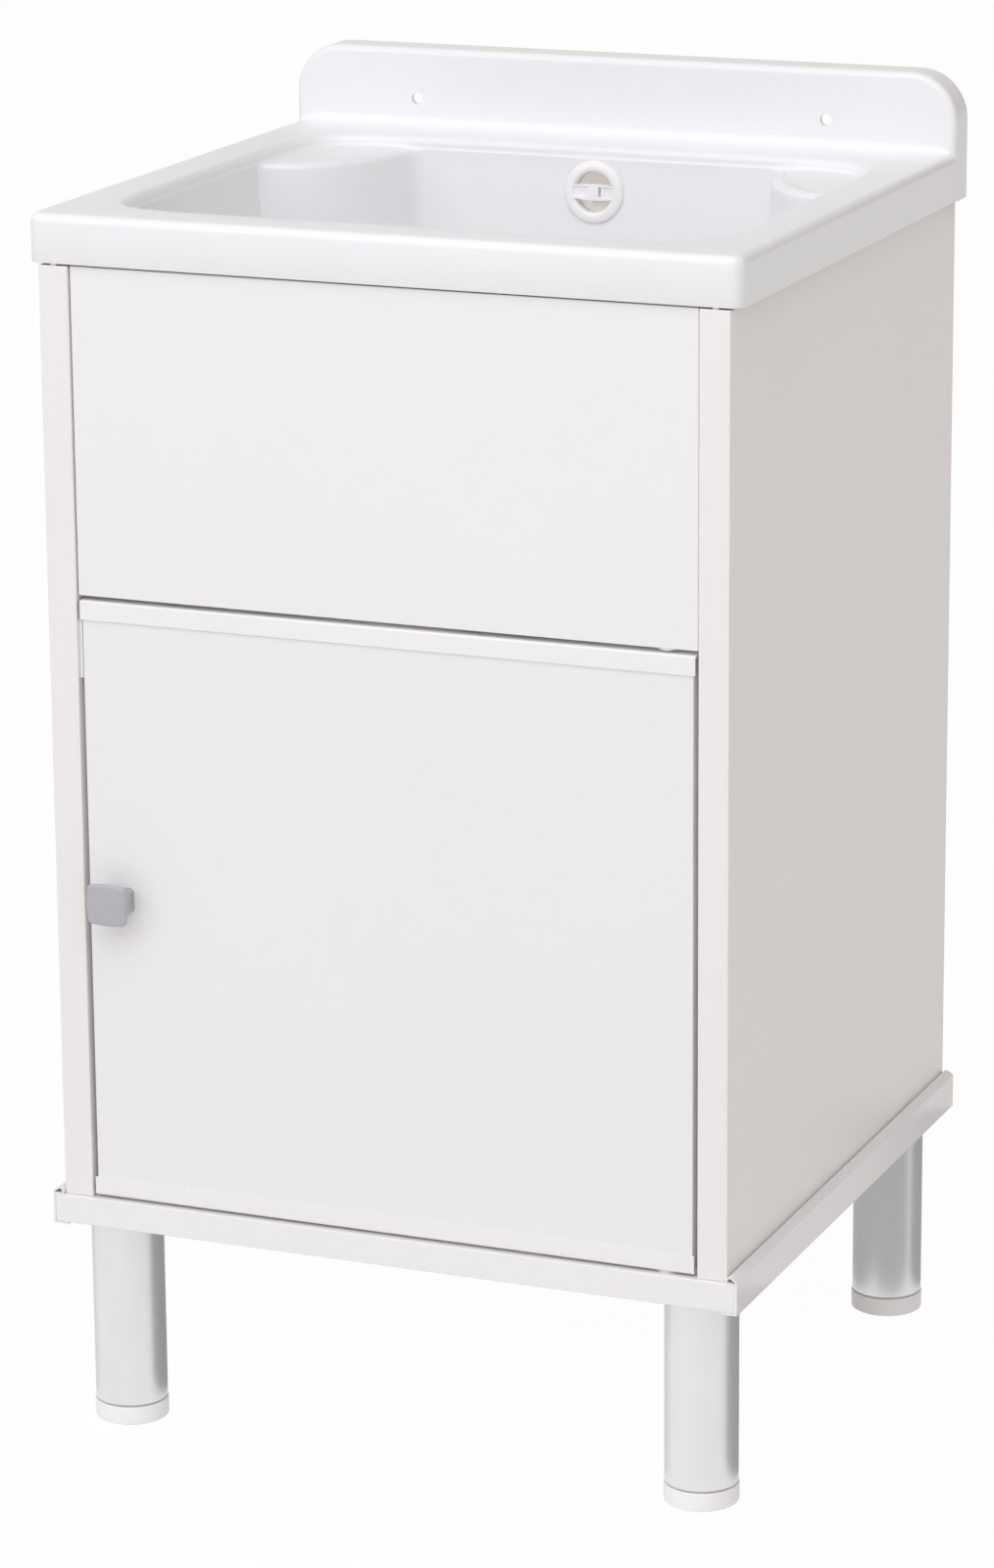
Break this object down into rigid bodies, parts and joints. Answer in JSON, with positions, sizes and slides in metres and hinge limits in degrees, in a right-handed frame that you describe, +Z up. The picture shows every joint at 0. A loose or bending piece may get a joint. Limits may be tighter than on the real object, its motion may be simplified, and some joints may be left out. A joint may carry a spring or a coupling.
{
  "type": "laundry sink cabinet",
  "caption": "Moulded laundry sink with soap shelves and splashback on a hollow-panel cabinet with a pivoted door, trap and four adjustable tube legs.",
  "frame": {"origin": "on the floor, under the centre of the bounding box", "axes": "+X to the right seen from the front, +Y to the wall behind, +Z up; the door faces -Y"},
  "size_m": [0.5, 0.4774, 0.906],
  "materials": {
    "tub_plastic": "glossy moulded plastic",
    "panel_plastic": "smooth extruded plastic",
    "door_plastic": "smooth extruded plastic",
    "white_pipe": "satin moulded plastic",
    "hose_plastic": "soft ribbed plastic",
    "fitting_plastic": "satin moulded plastic",
    "black_rubber": "matt rubber",
    "stainless": "satin stainless steel",
    "zinc_steel": "zinc-plated steel",
    "magnet_ferrite": "matt ferrite",
    "knob_grey": "satin grey plastic",
    "leg_grey": "smooth extruded tube",
    "foot_white": "satin moulded plastic"
  },
  "bodies": {
    "cabinet": {"tub": "tub_plastic", "overflow_rosette": "white_pipe", "overflow_screw": "stainless", "overflow_gasket": "black_rubber", "overflow_elbow": "white_pipe", "overflow_hose": "hose_plastic", "waste_flange": "stainless", "waste_screw": "stainless", "waste_gasket": "black_rubber", "waste_body": "white_pipe", "tailpipe": "white_pipe", "tailpipe_nut": "white_pipe", "trap_body": "white_pipe", "trap_inlet_nut": "white_pipe", "trap_cup": "white_pipe", "trap_outlet_nut": "white_pipe", "trap_outlet_pipe": "white_pipe", "left_side_panel": "panel_plastic", "right_side_panel": "panel_plastic", "front_fascia": "panel_plastic", "upper_rear_rail": "panel_plastic", "lower_rear_rail": "panel_plastic", "base_panel": "panel_plastic", "base_left_cap": "panel_plastic", "base_right_cap": "panel_plastic", "corner_brackets": "fitting_plastic", "bracket_screws": "zinc_steel", "upper_pivot_bush": "fitting_plastic", "lower_pivot_bush": "fitting_plastic", "catch_body": "fitting_plastic", "catch_magnet": "magnet_ferrite", "leg_tube_front_left": "leg_grey", "leg_tube_front_right": "leg_grey", "leg_tube_rear_left": "leg_grey", "leg_tube_rear_right": "leg_grey", "leg_socket_front_left": "fitting_plastic", "leg_socket_front_right": "fitting_plastic", "leg_socket_rear_left": "fitting_plastic", "leg_socket_rear_right": "fitting_plastic", "leg_insert_front_left": "fitting_plastic", "leg_insert_front_right": "fitting_plastic", "leg_insert_rear_left": "fitting_plastic", "leg_insert_rear_right": "fitting_plastic", "leg_bolts": "zinc_steel"},
    "door": {"door_panel": "door_plastic", "door_top_cap": "door_plastic", "door_bottom_cap": "door_plastic", "door_knob": "knob_grey", "knob_screw": "zinc_steel", "upper_pivot_pin": "zinc_steel", "lower_pivot_pin": "zinc_steel", "catch_strike": "zinc_steel"},
    "foot_front_left": {"foot_front_left": "foot_white"},
    "foot_front_right": {"foot_front_right": "foot_white"},
    "foot_rear_left": {"foot_rear_left": "foot_white"},
    "foot_rear_right": {"foot_rear_right": "foot_white"}
  },
  "joints": [
    {"name": "door_hinge", "type": "hinge", "parent": "cabinet", "child": "door", "pos_m": [0.1977, -0.21075, 0.4], "axis": [0, 0, 1], "range_deg": [0, 105]},
    {"name": "foot_front_left_screw", "type": "slide", "parent": "cabinet", "child": "foot_front_left", "axis": [0, 0, -1], "range_m": [0, 0.02]},
    {"name": "foot_front_right_screw", "type": "slide", "parent": "cabinet", "child": "foot_front_right", "axis": [0, 0, -1], "range_m": [0, 0.02]},
    {"name": "foot_rear_left_screw", "type": "slide", "parent": "cabinet", "child": "foot_rear_left", "axis": [0, 0, -1], "range_m": [0, 0.02]},
    {"name": "foot_rear_right_screw", "type": "slide", "parent": "cabinet", "child": "foot_rear_right", "axis": [0, 0, -1], "range_m": [0, 0.02]}
  ]
}
